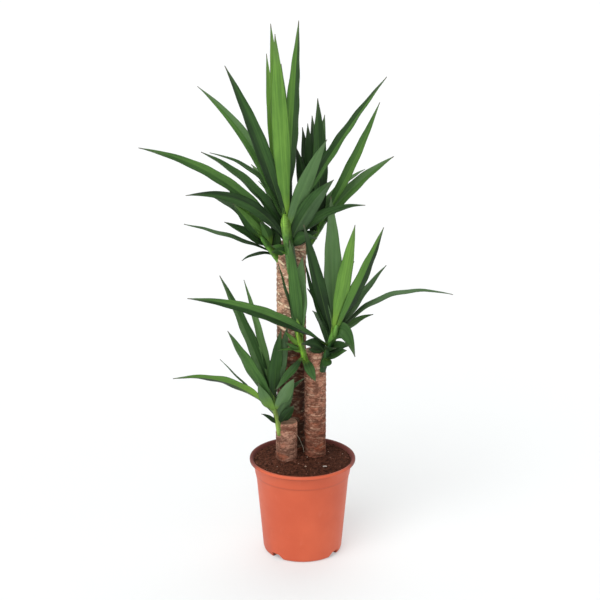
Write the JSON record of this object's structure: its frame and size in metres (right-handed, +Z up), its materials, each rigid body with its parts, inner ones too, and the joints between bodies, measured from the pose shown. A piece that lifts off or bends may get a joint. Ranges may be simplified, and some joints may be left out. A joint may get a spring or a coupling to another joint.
{
  "type": "potted yucca plant",
  "caption": "Indoor yucca with sawn woody canes of stepped height and rosettes of sword leaves, standing in soil in a round tapered plastic nursery pot.",
  "frame": {"origin": "centre of the pot's underside, on the surface that the pot stands on", "axes": "+Z up along the pot's axis, +X to the viewer's right in the picture, -Y towards the camera"},
  "size_m": [0.6749, 0.4254, 1.2093],
  "materials": {
    "terracotta_plastic": "satin",
    "potting_soil": "matte",
    "bark_tall": "matte",
    "bark_medium": "matte",
    "bark_short": "matte",
    "leaf": "satin"
  },
  "bodies": {
    "root": {"pot": "terracotta_plastic", "soil": "potting_soil", "cane_tall": "bark_tall", "cane_medium": "bark_medium", "cane_short": "bark_short", "shoot_tall_front": "leaf", "shoot_tall_left": "leaf", "shoot_tall_right": "leaf", "shoot_medium_right": "leaf", "shoot_medium_left": "leaf", "shoot_short": "leaf"}
  },
  "joints": []
}
